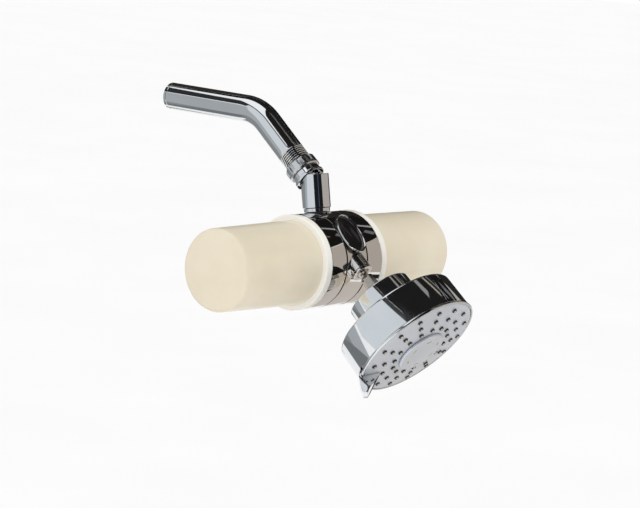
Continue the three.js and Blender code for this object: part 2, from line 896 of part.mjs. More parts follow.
function faceBezel() {
  const inner = faceRadius - 2 + clearance;
  const rear = shellFront + clearance;
  const solid = turned(closed([
    [inner, rear],
    [faceRadius - 0.2, rear],
    [faceRadius, rear + 0.4],
    [faceRadius, faceRim + 0.2],
    [faceRadius - 0.5, faceRim + 0.7],
    [inner, faceRim + 0.8],
  ]), 32);
  return part('face_bezel', solid.subtract(leverSolid(clearance)), chrome);
}

function centreInsert() {
  const low = faceHeight(insertRadius) + clearance;
  const bed = domePoints(0, insertRadius - 0.6, 2, clearance);
  let solid = turned([
    ...bed,
    [insertRadius, low + 0.3],
    [insertRadius, low + insertProud],
    [insertRadius - 1, low + insertProud + 0.6],
    [12, low + insertProud + 1.2],
    [0, low + insertProud + 1.5],
  ], 24);
  const slots = 6;
  for (let i = 0; i < slots; i += 1) {
    const slot = new THREE.BoxGeometry(4.6, 1.8, 4).translate(13.5, 0, low + insertProud + 2.1);
    solid = solid.subtract(toSolid(slot.rotateZ(((i + 0.77) / slots) * 2 * Math.PI)));
  }
  return part('centre_insert', solid, satin);
}

function selectorLever() {
  const halfWidth = 0.085;
  const low = shellFront - slotDepth + clearance;
  const from = leverAngle - halfWidth;
  const tongue = rimSector(48.2, 50.2, from, leverAngle + halfWidth, low, shellFront + 0.8);
  return part('selector_lever', leverSolid(0).add(tongue), chrome);
}

// ---------------------------------------------------------------- assembly

const sidesOfRing = ['left', 'right'];

inletFrame.add(
  couplingNut(),
  swivelStud(),
  openRing('nut_snap_ring', journalRadius - 0.6, journalRadius + 1.2, 14.9, 15.5, steel),
  inletWasher(),
  inletScreen(),
  swivelSeal(),
  openRing('stud_snap_ring', spigotRadius - 1.1, 7.6, -1.7, -0.9, steel),
);
connectorFrame.add(connector(), connectorGasket());
ringFrame.add(ringBody());
medallionFrame.add(medallionRim(), medallion());
sidesOfRing.forEach((side) => {
  ringFrame.add(cap(side), capGasket(side), cartridge(side), filterCore(side), hubSeal(side));
});
headFrame.add(
  outletCollar(),
  socketLiner('ball_gasket', ballRadius + 0.3, ballRadius + 0.9, rubber),
  socketLiner('ball_seat', ballRadius + 1.2, ballRadius + 1.7, white),
  ballStud(),
  headCollar(),
  collarSeal(),
  flowRestrictor(),
  headShell(),
  distributor(),
  distributorSeal(),
  detentSpring(),
  detentBall(),
  centreScrew(),
  facePlate(),
  nozzleMat(),
  faceBezel(),
  centreInsert(),
  selectorLever(),
);

const shower = new THREE.Group();
shower.add(showerArm(), ...allFrames);

export default shower;
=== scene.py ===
"""Looks for a wall-arm shower filter: smooth chrome arm, swivel, ring body, cream caps, spray head.

Every visible piece is drawn again as a fine mesh in a local frame taken from the joints, close to the
solid that it stands for and inside the CAD model's box. The outlet thread and the nozzle collars stand
a little outside their solids. Profiles are in millimetres, as [radius, height, corner radius].
"""

import json
import math

import bmesh
import bpy
from mathutils import Matrix, Vector


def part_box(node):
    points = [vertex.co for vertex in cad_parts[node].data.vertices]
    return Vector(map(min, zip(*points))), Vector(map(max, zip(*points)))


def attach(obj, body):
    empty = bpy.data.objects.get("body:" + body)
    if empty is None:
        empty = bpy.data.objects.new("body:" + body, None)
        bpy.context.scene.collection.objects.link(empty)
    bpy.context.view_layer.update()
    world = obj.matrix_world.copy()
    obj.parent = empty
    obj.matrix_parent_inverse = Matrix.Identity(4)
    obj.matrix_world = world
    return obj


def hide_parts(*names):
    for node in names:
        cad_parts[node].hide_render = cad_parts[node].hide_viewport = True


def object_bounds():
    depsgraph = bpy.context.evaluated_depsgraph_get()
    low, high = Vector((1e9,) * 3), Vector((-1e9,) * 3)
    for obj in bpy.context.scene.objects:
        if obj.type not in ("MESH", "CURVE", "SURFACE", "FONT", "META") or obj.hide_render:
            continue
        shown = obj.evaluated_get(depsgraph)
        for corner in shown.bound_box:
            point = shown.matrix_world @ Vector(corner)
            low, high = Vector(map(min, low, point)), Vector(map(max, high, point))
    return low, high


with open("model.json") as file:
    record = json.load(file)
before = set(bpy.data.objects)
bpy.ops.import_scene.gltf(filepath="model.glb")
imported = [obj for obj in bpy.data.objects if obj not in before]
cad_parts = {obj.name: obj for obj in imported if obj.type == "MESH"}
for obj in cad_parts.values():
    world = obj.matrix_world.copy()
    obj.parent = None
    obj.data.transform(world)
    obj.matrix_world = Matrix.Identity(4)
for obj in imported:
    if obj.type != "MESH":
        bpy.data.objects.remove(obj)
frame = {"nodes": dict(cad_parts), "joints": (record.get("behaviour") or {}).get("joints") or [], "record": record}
CAD_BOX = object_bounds()

MM = 0.001
TAU = 2 * math.pi
SHARP_ANGLE = math.radians(32)

# ---------------------------------------------------------------- places, from the frame

JOINTS = {joint["name"]: joint for joint in frame["joints"]}


def place(origin, up, side=(1, 0, 0)):
    """A frame whose Z runs along up and whose X leans towards side; lengths in it are millimetres."""
    z = Vector(up).normalized()
    x = (Vector(side) - z * z.dot(Vector(side))).normalized()
    turn = Matrix((x, z.cross(x), z)).transposed().to_4x4()
    return Matrix.Translation(Vector(origin)) @ turn @ Matrix.Scale(MM, 4)


def joint_point(name):
    return Vector(JOINTS[name]["pos_m"])


def joint_axis(name):
    return Vector(JOINTS[name]["axis"]).normalized()


SWIVEL = joint_point("housing_swivel")
DOWN = joint_axis("housing_swivel")
RING = joint_point("left_cap_turn")
BALL = joint_point("head_spin")
SPRAY = joint_axis("head_spin")
MEDALLION_ANGLE = math.radians(42)

ARM_FRAME = place(SWIVEL, -DOWN)
CONNECTOR_FRAME = place(RING, SWIVEL - RING)
RIGHT_FRAME = place(RING, (1, 0, 0), (0, 1, 0))
LEFT_FRAME = place(RING, (-1, 0, 0), (0, 1, 0))
HEAD_FRAME = place(BALL, SPRAY)
BADGE_OUT = (0, -math.cos(MEDALLION_ANGLE), math.sin(MEDALLION_ANGLE))
BADGE_FRAME = place(RING, BADGE_OUT)


def extent(node, where):
    """Lowest and highest Z and the largest radius of a CAD node in a local frame, in millimetres."""
    inverse = where.inverted()
    points = [inverse @ vertex.co for vertex in frame["nodes"][node].data.vertices]
    heights = [point.z for point in points]
    return min(heights), max(heights), max(math.hypot(point.x, point.y) for point in points)


# ---------------------------------------------------------------- materials

def material(name, color, metallic=0.0, roughness=0.3, **sockets):
    made = bpy.data.materials.new(name)
    made.use_nodes = True
    shader = made.node_tree.nodes["Principled BSDF"]
    shader.inputs["Base Color"].default_value = (*color, 1)
    shader.inputs["Metallic"].default_value = metallic
    shader.inputs["Roughness"].default_value = roughness
    for socket, value in sockets.items():
        shader.inputs[socket.replace("_", " ")].default_value = value
    made.diffuse_color = (*color, 1)
    return made, made.node_tree, shader


def noise(tree, scale, detail=3.0, stretch=(1, 1, 1)):
    position = tree.nodes.new("ShaderNodeTexCoord")
    mapping = tree.nodes.new("ShaderNodeMapping")
    mapping.inputs["Scale"].default_value = stretch
    texture = tree.nodes.new("ShaderNodeTexNoise")
    texture.inputs["Scale"].default_value = scale
    texture.inputs["Detail"].default_value = detail
    tree.links.new(position.outputs["Object"], mapping.inputs["Vector"])
    tree.links.new(mapping.outputs["Vector"], texture.inputs["Vector"])
    return texture.outputs["Fac"]


def remap(tree, value, low, high):
    ranged = tree.nodes.new("ShaderNodeMapRange")
    ranged.inputs["To Min"].default_value = low
    ranged.inputs["To Max"].default_value = high
    tree.links.new(value, ranged.inputs["Value"])
    return ranged.outputs["Result"]


RAMP_DARK_AT, RAMP_LIGHT_AT = 0.3, 0.7


def vary_color(tree, shader, value, dark, light):
    ramp = tree.nodes.new("ShaderNodeValToRGB")
    ramp.color_ramp.elements[0].position = RAMP_DARK_AT
    ramp.color_ramp.elements[0].color = (*dark, 1)
    ramp.color_ramp.elements[1].position = RAMP_LIGHT_AT
    ramp.color_ramp.elements[1].color = (*light, 1)
    tree.links.new(value, ramp.inputs["Fac"])
    tree.links.new(ramp.outputs["Color"], shader.inputs["Base Color"])


def roughen(tree, shader, value, low, high):
    tree.links.new(remap(tree, value, low, high), shader.inputs["Roughness"])


def bump(tree, shader, value, depth_mm, strength=1.0):
    node = tree.nodes.new("ShaderNodeBump")
    node.inputs["Distance"].default_value = depth_mm * MM
    node.inputs["Strength"].default_value = strength
    tree.links.new(value, node.inputs["Height"])
    tree.links.new(node.outputs["Normal"], shader.inputs["Normal"])


def metal(name, color, rough_low, rough_high, wave_mm):
    """Plated metal: faint wipe marks in the gloss and a slow waviness in the surface."""
    made, tree, shader = material(name, color, metallic=1.0)
    dark = tuple(channel * 0.93 for channel in color)
    vary_color(tree, shader, noise(tree, 35), dark, color)
    roughen(tree, shader, noise(tree, 160, 4, (1, 1, 0.3)), rough_low, rough_high)
    bump(tree, shader, noise(tree, 22, 1), wave_mm, 0.5)
    return made


def plastic(name, dark, light, rough_low, rough_high, grain_mm, grain_scale=900, **sockets):
    made, tree, shader = material(name, light, **sockets)
    vary_color(tree, shader, noise(tree, 28, 4), dark, light)
    roughen(tree, shader, noise(tree, 240, 3), rough_low, rough_high)
    bump(tree, shader, noise(tree, grain_scale, 2), grain_mm, 0.35)
    return made


CHROME = metal("chrome", (0.83, 0.85, 0.87), 0.035, 0.075, 0.012)
WARM_CHROME = metal("ring_chrome", (0.80, 0.775, 0.75), 0.03, 0.065, 0.012)
NUT_CHROME = metal("nut_chrome", (0.74, 0.755, 0.765), 0.15, 0.24, 0.02)
STEM_NICKEL = metal("stem_nickel", (0.50, 0.455, 0.40), 0.04, 0.09, 0.012)
STEEL = metal("steel", (0.62, 0.63, 0.64), 0.22, 0.34, 0.01)
SATIN = plastic("satin_plate", (0.60, 0.63, 0.68), (0.68, 0.715, 0.77), 0.27, 0.36, 0.008, Metallic=0.55)
CREAM = plastic(
    "cream_plastic", (0.76, 0.68, 0.52), (0.82, 0.74, 0.585), 0.26, 0.36, 0.006,
    Subsurface_Weight=0.12, Subsurface_Scale=0.004, Coat_Weight=0.15,
)
# Painted light: the same cream drawn whiter, given to the caps' flanges for the light that glows through the
# plastic there.
CREAM_PAINTED_LIGHT = plastic(
    "cream_painted_light", (0.90, 0.875, 0.80), (0.94, 0.915, 0.85), 0.26, 0.36, 0.006,
    Subsurface_Weight=0.12, Subsurface_Scale=0.004, Coat_Weight=0.15,
)
BLACK = plastic(
    "black_gloss", (0.006, 0.006, 0.006), (0.014, 0.013, 0.012), 0.05, 0.11, 0.003, Coat_Weight=0.6,
)
GROOVE_SHADE = metal("groove_shade", (0.05, 0.045, 0.04), 0.2, 0.3, 0.01)
RUBBER = plastic("rubber", (0.018, 0.018, 0.018), (0.035, 0.035, 0.035), 0.6, 0.8, 0.02)
NOZZLE = plastic("nozzle_rubber", (0.40, 0.38, 0.33), (0.58, 0.55, 0.49), 0.4, 0.55, 0.01)
WHITE = plastic("white_plastic", (0.74, 0.74, 0.71), (0.82, 0.82, 0.80), 0.42, 0.58, 0.01)
MEDIA = plastic("filter_media", (0.35, 0.28, 0.17), (0.72, 0.62, 0.42), 0.8, 0.95, 0.3, 320)
TAN = plastic("jet_slot", (0.45, 0.38, 0.27), (0.58, 0.50, 0.37), 0.4, 0.55, 0.01)

SLOT_MATERIALS = {
    "chrome": CHROME,
    "plated": CHROME,
    "steel": STEEL,
    "cream": CREAM,
    "black": BLACK,
    "rubber": RUBBER,
    "nozzle_rubber": NOZZLE,
    "satin": SATIN,
    "white": WHITE,
    "media": MEDIA,
}

# ---------------------------------------------------------------- meshes


def rounded(profile, steps=5):
    """A closed outline with each corner that states a radius turned into an arc."""
    out = []
    count = len(profile)
    for i, corner in enumerate(profile):
        here = Vector(corner[:2])
        radius = corner[2] if len(corner) > 2 else 0
        if radius <= 0:
            out.append((here.x, here.y))
            continue
        before = Vector(profile[i - 1][:2]) - here
        after = Vector(profile[(i + 1) % count][:2]) - here
        half = before.angle(after) / 2
        length = min(radius / math.tan(half), before.length * 0.49, after.length * 0.49)
        start = here + before.normalized() * length
        end = here + after.normalized() * length
        for k in range(steps + 1):
            t = k / steps
            point = start * (1 - t) ** 2 + here * 2 * t * (1 - t) + end * t ** 2
            out.append((point.x, point.y))
    return out


def smooth(mesh):
    for polygon in mesh.polygons:
        polygon.use_smooth = True
    mesh.set_sharp_from_angle(angle=SHARP_ANGLE)


def finish_mesh(name, bm, look):
    bmesh.ops.remove_doubles(bm, verts=bm.verts, dist=0.5e-6)
    bmesh.ops.recalc_face_normals(bm, faces=bm.faces)
    mesh = bpy.data.meshes.new(name)
    bm.to_mesh(mesh)
    bm.free()
    smooth(mesh)
    mesh.materials.append(look)
    made = bpy.data.objects.new(name, mesh)
    bpy.context.scene.collection.objects.link(made)
    return made


def grid(bm, rows, joined_rows):
    """Skins rows of points that each close on themselves; joined_rows also ties the last to the first."""
    rings = []
    for row in rows:
        if len(row) == 1:
            rings.append([bm.verts.new(row[0])])
        else:
            rings.append([bm.verts.new(point) for point in row])
    pairs = list(zip(rings, rings[1:]))
    if joined_rows:
        pairs.append((rings[-1], rings[0]))
    for low, high in pairs:
        sides = max(len(low), len(high))
        for i in range(sides):
            j = (i + 1) % sides
            corners = [low[i % len(low)], low[j % len(low)], high[j % len(high)], high[i % len(high)]]
            corners = list(dict.fromkeys(corners))
            if len(corners) > 2:
                bm.faces.new(corners)


def turned(bm, profile, where, sides=128, shape=None):
    """Turns an outline about the local Z axis. shape may move (angle, radius, height) point by point."""
    rows = []
    on_axis = profile[0][0] == 0 and profile[-1][0] == 0
    for radius, height in profile:
        if radius == 0:
            rows.append([where @ Vector((0, 0, height))])
            continue
        row = []
        for i in range(sides):
            angle = i / sides * TAU
            r, h = shape(angle, radius, height) if shape else (radius, height)
            row.append(where @ Vector((r * math.cos(angle), r * math.sin(angle), h)))
        rows.append(row)
    grid(bm, rows, joined_rows=not on_axis)


def turned_piece(name, profile, where, look, sides=128, shape=None):
    bm = bmesh.new()
    turned(bm, rounded(profile), where, sides, shape)
    return finish_mesh(name, bm, look)


def oval(half_width, half_length, steps=96):
    angles = [i / steps * TAU for i in range(steps)]
    return [(half_width * math.cos(a), half_length * math.sin(a)) for a in angles]


def level(where, outline, height):
    """A flat outline lifted to a height in a local frame."""
    return [where @ Vector((x, y, height)) for x, y in outline]


def prism(bm, outline, low, high, where, middle=None):
    """Closed prism from low to high along local Z; its ends are fans round middle."""
    rows = [level(where, outline, z) for z in (low, high)]
    if middle is None:
        middle = Vector((sum(x for x, _ in outline), sum(y for _, y in outline), 0)) / len(outline)
    bottom = where @ (middle + Vector((0, 0, low)))
    top = where @ (middle + Vector((0, 0, high)))
    grid(bm, [[bottom], *rows, [top]], joined_rows=False)


def cut(target, cutter_bm):
    """Takes the cutter's closed meshes out of the target for good."""
    cutter = finish_mesh(target.name + "_cutter", cutter_bm, CHROME)
    modifier = target.modifiers.new("cut", "BOOLEAN")
    modifier.operation = "DIFFERENCE"
    modifier.object = cutter
    modifier.solver = "EXACT"
    apply_modifiers(target)
    bpy.data.objects.remove(cutter)
    target.data.set_sharp_from_angle(angle=SHARP_ANGLE)


def apply_modifiers(target):
    graph = bpy.context.evaluated_depsgraph_get()
    mesh = bpy.data.meshes.new_from_object(target.evaluated_get(graph))
    target.modifiers.clear()
    target.data = mesh


def soften(piece, width, segments, sharper_than):
    """Bevels the edges that turn by more than an angle in degrees; width in millimetres."""
    bevel = piece.modifiers.new("edge", "BEVEL")
    bevel.width = width * MM
    bevel.segments = segments
    bevel.limit_method = "ANGLE"
    bevel.angle_limit = math.radians(sharper_than)
    apply_modifiers(piece)
    smooth(piece.data)


def shade(piece, look, where, test):
    """Gives a second look to the faces whose local centre and world normal pass a test."""
    materials = piece.data.materials
    if look.name not in materials:
        materials.append(look)
    index = materials.find(look.name)
    inverse = where.inverted()
    for polygon in piece.data.polygons:
        if test(inverse @ polygon.center, polygon.normal):
            polygon.material_index = index


def wear(piece, body, slot, *nodes):
    """Ties a finished piece to its body and hides the solids that it stands for; slot is not used."""
    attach(piece, body)
    if nodes:
        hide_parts(*nodes)
    return piece


# ---------------------------------------------------------------- shower arm

PIPE_BORE = 8.0
BEND_RADIUS = 36.0
ARM_SIDES = 128

THREAD_PITCH = 1.814
THREAD_DEPTH = 0.75
THREAD_TURNS = 9
THREAD_LENGTH = THREAD_TURNS * THREAD_PITCH
THREAD_RUNOUT = 1.2 * THREAD_PITCH
CREST_SLOPE = 1.15

# The wall end, as distances from the wall: a rim, a groove with sloped sides, and the plain pipe.
WALL_END = 5
WALL_MARKS = (0, 0.25, 0.6, 2.2, 2.35, 2.6, 3.0, 3.25, 3.4, WALL_END)
WALL_CHAMFER = 0.25
GROOVE_FLOOR = (2.5, 3.1)
GROOVE_SIDES = (2.3, 3.3)
GROOVE_FLOOR_DEPTH, GROOVE_SIDE_DEPTH = 0.6, 0.3
FIRST_PLAIN_MARK = 6

STRAIGHT_STEPS = 9
BEND_STEPS = 24
LOWER_STEPS = 12
STEPS_PER_TURN = 14
# The bore needs fewer stations: every third one, from past the wall end to inside the thread.
BORE_STATIONS = slice(len(WALL_MARKS), -90, 3)


def arm_stations():
    """Stations from the wall to the threaded end: centre, tangent, and the distances to the pipe's
    threaded end (None outside the thread) and to the wall (infinite past the straight stretch)."""
    to_front = Vector((0, -1, 0))
    swivel = SWIVEL / MM
    reach = -swivel.z / -DOWN.z
    corner = swivel - DOWN * reach
    bend = DOWN.angle(to_front)
    setback = BEND_RADIUS * math.tan(bend / 2)
    pipe_end = extent("shower_arm", ARM_FRAME)[0]
    straight_end = corner - Vector((0, -setback, 0))
    stations = [(Vector((0, -mark, 0)), to_front, None, mark) for mark in WALL_MARKS]
    for k in range(1, STRAIGHT_STEPS + 1):
        point = Vector((0, 0, 0)).lerp(straight_end, k / STRAIGHT_STEPS)
        if -point.y > FIRST_PLAIN_MARK:
            stations.append((point, to_front, None, -point.y))
    centre = straight_end + Vector((0, 0, -BEND_RADIUS))
    for k in range(1, BEND_STEPS + 1):
        angle = bend * k / BEND_STEPS
        out = Vector((0, -math.sin(angle), math.cos(angle)))
        along = Vector((0, -math.cos(angle), -math.sin(angle)))
        stations.append((centre + out * BEND_RADIUS, along, None, math.inf))
    bend_end = stations[-1][0]
    tip = swivel - DOWN * pipe_end
    length = (bend_end - tip).length
    for k in range(1, LOWER_STEPS):
        share = k / LOWER_STEPS * (length - THREAD_LENGTH) / length
        stations.append((bend_end.lerp(tip, share), DOWN, None, math.inf))
    thread_steps = int(THREAD_LENGTH / THREAD_PITCH * STEPS_PER_TURN)
    for k in range(thread_steps + 1):
        left = THREAD_LENGTH * (1 - k / thread_steps)
        stations.append((swivel - DOWN * (pipe_end + left), DOWN, left, math.inf))
    return stations


def arm_radius(outer, left, mark, angle):
    if mark < WALL_END:
        groove = 0
        if GROOVE_FLOOR[0] <= mark <= GROOVE_FLOOR[1]:
            groove = GROOVE_FLOOR_DEPTH
        elif GROOVE_SIDES[0] < mark < GROOVE_SIDES[1]:
            groove = GROOVE_SIDE_DEPTH
        edge = WALL_CHAMFER if mark == 0 else 0
        return outer - groove - edge
    if left is None:
        return outer
    turn = (left / THREAD_PITCH + angle / TAU) % 1
    tooth = abs(2 * turn - 1)
    fade = min(1, max(0, (THREAD_LENGTH - left) / THREAD_RUNOUT))
    return outer - THREAD_DEPTH * fade * (1 - min(1, tooth * CREST_SLOPE))


def pipe_row(centre, along, radius_at):
    """A closed row of points round the pipe, in metres; radius_at gives the radius at an angle."""
    x = Vector((1, 0, 0))
    y = along.cross(x)
    angles = [i / ARM_SIDES * TAU for i in range(ARM_SIDES)]
    return [(centre + (x * math.cos(a) + y * math.sin(a)) * radius_at(a)) * MM for a in angles]


def shower_arm():
    low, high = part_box("shower_arm")
    outer = (high.x - low.x) / 2 / MM
    stations = arm_stations()
    rows = []
    for centre, along, left, mark in stations:
        rows.append(pipe_row(centre, along, lambda angle: arm_radius(outer, left, mark, angle)))
    for centre, along, _, _ in [stations[-1], *reversed(stations[BORE_STATIONS]), stations[0]]:
        rows.append(pipe_row(centre, along, lambda angle: PIPE_BORE))
    bm = bmesh.new()
    grid(bm, rows, joined_rows=True)
    piece = finish_mesh("arm_pipe", bm, CHROME)
    start = extent("shower_arm", ARM_FRAME)[0]

    def in_valley(centre, _):
        radius = math.hypot(centre.x, centre.y)
        deep = outer - THREAD_DEPTH - 0.1 < radius < outer - 0.5 * THREAD_DEPTH
        return deep and start < centre.z < start + THREAD_LENGTH

    shade(piece, GROOVE_SHADE, ARM_FRAME, in_valley)
    return wear(piece, "arm", "chrome", "shower_arm")


# ---------------------------------------------------------------- swivel

NUT_LUGS = 9
NUT_FLUTE = 1.1


def flute(angle):
    """0 on a lug and 1 in the flute between two lugs."""
    phase = (angle / TAU * NUT_LUGS + 0.5) % 1
    away = abs(phase - 0.5) * 2
    t = min(1, max(0, (away - 0.52) / 0.22))
    return t * t * (3 - 2 * t)


NUT_BORE = 9.6


def coupling_nut():
    low, high, radius = extent("coupling_nut", ARM_FRAME)
    waist = high - 5.6

    def shape(angle, r, h):
        if r < radius - 1.6 or h < waist - 0.6:
            return r, h
        return r - NUT_FLUTE * flute(angle), h

    piece = turned_piece("coupling_nut_body", [
        [NUT_BORE, low],
        [radius - 0.9, low, 0.4],
        [radius, low + 0.9, 0.5],
        [radius, waist - 0.8],
        [radius, waist - 0.5],
        [radius, waist],
        [radius, high - 1.2, 0.9],
        [radius - 1.2, high, 0.6],
        [11.2, high, 0.3],
        [10.95, high - 0.4],
        [10.95, 14.5],
        [NUT_BORE, 14.5],
    ], ARM_FRAME, NUT_CHROME, 252, shape)
    return wear(piece, "nut", "chrome", "coupling_nut")


def swivel_stud():
    low, high, lip = extent("swivel_stud", ARM_FRAME)
    piece = turned_piece("swivel_stud_body", [
        [3.6, low],
        [6.1, low, 0.3],
        [6.1, -1.9],
        [5.1, -1.9],
        [5.1, -0.7],
        [6.5, -0.7],
        [6.5, 2.4],
        [5.1, 2.4],
        [5.1, 4.4],
        [6.5, 4.4],
        [6.5, 6.4],
        [lip, 6.4, 0.5],
        [lip, 8.9, 0.7],
        [11.5, 8.9, 0.4],
        [11.5, 13.0, 0.4],
        [9.3, 13.0, 0.2],
        [9.3, 14.65],
        [8.4, 14.65],
        [8.4, 15.65],
        [9.3, 15.65],
        [9.3, high, 0.2],
        [3.6, high],
    ], ARM_FRAME, CHROME)
    return wear(piece, "inlet", "chrome", "swivel_stud")


def connector():
    low, _, radius = extent("connector", CONNECTOR_FRAME)
    piece = turned_piece("connector_body", [
        [5, low],
        [8, low],
        [8, 37.5],
        [10.25, 37.5, 0.3],
        [10.25, 40.2, 0.2],
        [radius, 40.8, 0.4],
        [radius, 67.0, 0.5],
        [5, 67.0],
    ], CONNECTOR_FRAME, CHROME)
    bm = bmesh.new()
    prism(bm, [(-40, -40), (40, -40), (40, 40), (-40, 40)], 5.5, 40, ARM_FRAME)
    cut(piece, bm)
    bm = bmesh.new()
    turned(bm, [(0, -1.4), (6.8, -1.4), (6.8, 30), (0, 30)], ARM_FRAME, 64)
    cut(piece, bm)
    soften(piece, 0.35, 3, 40)
    return wear(piece, "housing", "chrome", "connector")


# ---------------------------------------------------------------- ring body

RING_RADIUS = 36.9
RING_HALF = 30.6
GROOVE_AT = 12.5


GROOVE_DEPTH = 0.55
PAD_WIDE, PAD_LONG = 12.3, 17.4
PAD_FROM = 30
GLOSS_WIDE, GLOSS_LONG = 10.8, 15.9


def ring_shell():
    groove = []
    for centre in (-GROOVE_AT, GROOVE_AT):
        groove += [
            [RING_RADIUS, centre - 0.8, 0.3],
            [RING_RADIUS - GROOVE_DEPTH, centre - 0.3, 0.2],
            [RING_RADIUS - GROOVE_DEPTH, centre + 0.3, 0.2],
            [RING_RADIUS, centre + 0.8, 0.3],
        ]
    piece = turned_piece("ring_shell", [
        [27.4, -38.5],
        [30.3, -38.5, 0.3],
        [30.3, -RING_HALF],
        [RING_RADIUS, -RING_HALF, 0.5],
        *groove,
        [RING_RADIUS, RING_HALF, 0.5],
        [30.3, RING_HALF],
        [30.3, 38.5, 0.3],
        [27.4, 38.5],
    ], RIGHT_FRAME, WARM_CHROME, 192)
    bm = bmesh.new()
    turned(bm, [(0, 20), (11.2, 20), (11.2, 60), (0, 60)], CONNECTOR_FRAME, 96)
    cut(piece, bm)
    bm = bmesh.new()
    turned(bm, [(0, -16), (7.5, -16), (7.5, 20), (0, 20)], HEAD_FRAME, 64)
    cut(piece, bm)
    return piece


def ring_body():
    piece = ring_shell()
    bm = bmesh.new()
    bm.from_mesh(piece.data)
    turned(bm, rounded([
        [7.5, -13], [8.4, -13], [8.4, 0.0, 0.15], [7.5, 0.0],
    ]), HEAD_FRAME, 96)
    turned(bm, rounded([
        [2.8, -8.4], [7.4, -8.4], [7.4, -3.0], [5.6, -6.2], [3.2, -7.6],
    ]), HEAD_FRAME, 64)
    face = extent("medallion_rim", BADGE_FRAME)[0]
    pad = [(0, PAD_FROM), (0, face - 0.5), (-0.15, face - 0.1), (-0.5, face), (-4, face), (-4, PAD_FROM)]
    rows = [level(BADGE_FRAME, oval(PAD_WIDE + grow, PAD_LONG + grow), height) for grow, height in pad]
    grid(bm, rows, joined_rows=True)
    bpy.data.objects.remove(piece)
    piece = finish_mesh("ring_body_shell", bm, WARM_CHROME)

    def in_groove(centre, _):
        radius = math.hypot(centre.x, centre.y)
        deep = RING_RADIUS - 0.7 < radius < RING_RADIUS - 0.2
        return deep and abs(abs(centre.z) - GROOVE_AT) < 0.75

    def on_pad_wall(centre, normal):
        on_wall = abs(normal.dot(Vector(BADGE_OUT))) < 0.3 and centre.z > PAD_FROM
        return on_wall and abs(centre.x) < PAD_WIDE + 0.2 and abs(centre.y) < PAD_LONG + 0.2

    shade(piece, GROOVE_SHADE, RIGHT_FRAME, in_groove)
    shade(piece, GROOVE_SHADE, BADGE_FRAME, on_pad_wall)
    return wear(piece, "housing", "plated", "ring_body")


def medallion():
    low, high, _ = extent("medallion_rim", BADGE_FRAME)
    rim = [
        (0.1, low), (0.0, low + 0.25), (0.15, high - 0.15),
        (0.45, high), (0.75, high - 0.2), (1.05, low),
    ]
    rows = [level(BADGE_FRAME, oval(PAD_WIDE - inset, PAD_LONG - inset), height) for inset, height in rim]
    bm = bmesh.new()
    grid(bm, rows, joined_rows=True)
    wear(finish_mesh("medallion_rim_ring", bm, CHROME), "housing", "plated", "medallion_rim")
    low, high, _ = extent("medallion", BADGE_FRAME)
    crown = 0.95
    crown_edge = 0.965
    crown_steps = 12
    gloss = [(0.97, low), (1.0, low + 0.4), (1.0, high - crown - 0.35), (0.985, high - crown - 0.1)]
    for k in range(1, crown_steps):
        share = crown_edge * (1 - k / crown_steps)
        gloss.append((share, high - crown * (share / crown_edge) ** 2 * 0.9))
    rows = []
    for share, height in gloss:
        rows.append(level(BADGE_FRAME, oval(GLOSS_WIDE * share, GLOSS_LONG * share), height))
    bm = bmesh.new()
    bottom, top = level(BADGE_FRAME, [(0, 0)], low), level(BADGE_FRAME, [(0, 0)], high)
    grid(bm, [bottom, *rows, top], joined_rows=False)
    wear(finish_mesh("medallion_gloss", bm, BLACK), "housing", "black", "medallion")


# ---------------------------------------------------------------- caps

FLANGE_EDGE = 37.6
CAP_WALL = 2.6


def cap(side, where):
    node = f"{side}_cap"
    start, end, flange = extent(node, where)
    dome = 2.8
    shoulder = end - dome
    corner = 3.4
    root, tip = 32.7, 31.7
    outline = rounded([
        [root - 3.1, 41.6],
        [root - 3.1, 39.6],
        [30.8, 39.6],
        [30.8, start],
        [flange, start, 0.5],
        [flange, 37.4, 1.1],
        [root, 37.4, 0.8],
        [tip, shoulder - corner],
    ])
    for k in range(1, 11):
        angle = k / 10 * math.pi / 2
        outline.append((tip - corner * (1 - math.cos(angle)), shoulder - corner * (1 - math.sin(angle))))
    edge = tip - corner
    for k in range(1, 16):
        share = 1 - k / 16
        outline.append((edge * share, shoulder + dome * (1 - share ** 2) * 0.97))
    outline.append((0, end - 0.02))
    inside = end - dome - CAP_WALL
    outline = [(0, inside), (tip - CAP_WALL, inside), *outline]
    bm = bmesh.new()
    turned(bm, outline, where, 160)
    piece = finish_mesh(f"{node}_shell", bm, CREAM)
    # The flange faces get the whiter copy of the cream: painted light.
    shade(piece, CREAM_PAINTED_LIGHT, where, lambda centre, _: centre.z < FLANGE_EDGE)
    return wear(piece, node, "cream", node)


# ---------------------------------------------------------------- ball joint and head

HEAD_SIDES = 192


def outlet_collar():
    low, high, radius = extent("outlet_collar", HEAD_FRAME)
    piece = turned_piece("outlet_collar_ring", [
        [5.62, low],
        [radius, low, 0.1],
        [radius, high, 0.6],
        [5.2, high, 0.15],
        [5.45, high - 0.9],
    ], HEAD_FRAME, WARM_CHROME, 96)
    return wear(piece, "housing", "plated", "outlet_collar")


def hexagon(radius, softness=0.12, steps=120):
    """A six-sided outline with slightly rounded corners, flat to flat across local Y."""
    points = []
    for i in range(steps):
        angle = i / steps * TAU
        local = (angle % (TAU / 6)) - TAU / 12
        flat = radius * math.cos(TAU / 12) / math.cos(local)
        r = min(flat * (1 - softness) + min(flat, radius * 0.965) * softness, radius * 0.985)
        points.append((r * math.cos(angle), r * math.sin(angle)))
    return points


STUD_SIDES = 120
STUD_BORE = 1.9
BALL_RADIUS = 5.3
BALL_FROM, BALL_TO = 159, 34.5
HEX_START, HEX_END = 6.5, 24.8
HEX_THIN, HEX_WIDE = 5.0, 6.9
SHANK_RADIUS = 5.8


